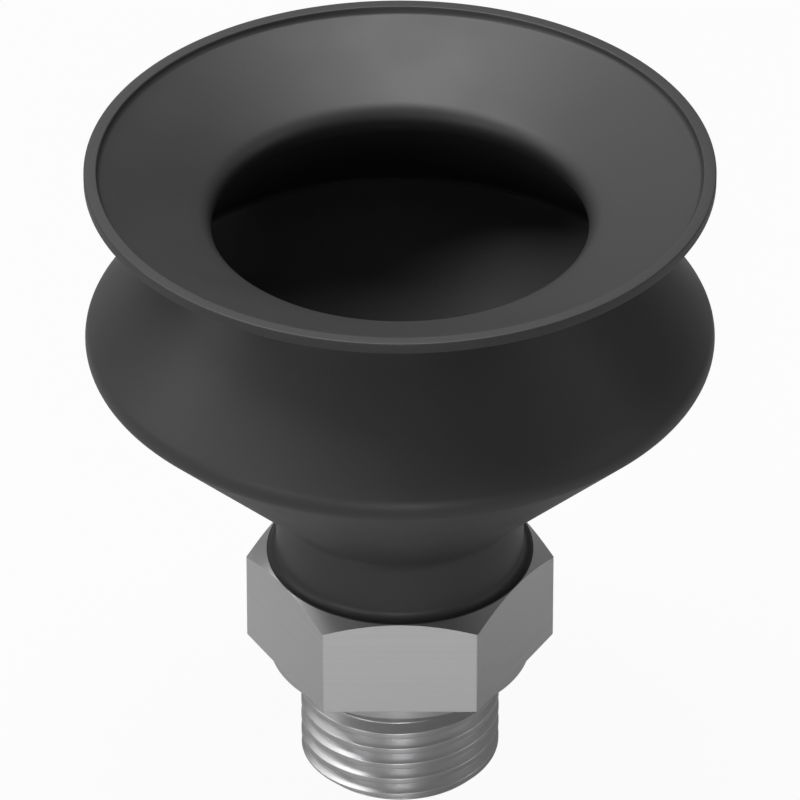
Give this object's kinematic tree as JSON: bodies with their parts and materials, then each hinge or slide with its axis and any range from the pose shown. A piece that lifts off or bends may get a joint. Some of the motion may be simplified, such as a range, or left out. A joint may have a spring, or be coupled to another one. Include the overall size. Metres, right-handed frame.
{
  "type": "bellows suction cup",
  "caption": "Round rubber vacuum cup with a folded bellows wall and a flared sealing lip, held on a hexagonal metal fitting with a male pipe thread and an air passage.",
  "frame": {"origin": "on the axis of the vacuum bore, in the plane of the sealing face under the collar", "axes": "+Z along the axis from the thread towards the sealing rim, -Y square to a flat of the hexagon"},
  "size_m": [0.0302, 0.0302, 0.0342],
  "materials": {
    "moulded_rubber": "moulded nitrile rubber, dark grey, satin",
    "turned_aluminium": "turned and milled aluminium, bare"
  },
  "bodies": {
    "root": {"bellows_cup": "moulded_rubber", "threaded_fitting": "turned_aluminium"}
  },
  "joints": []
}
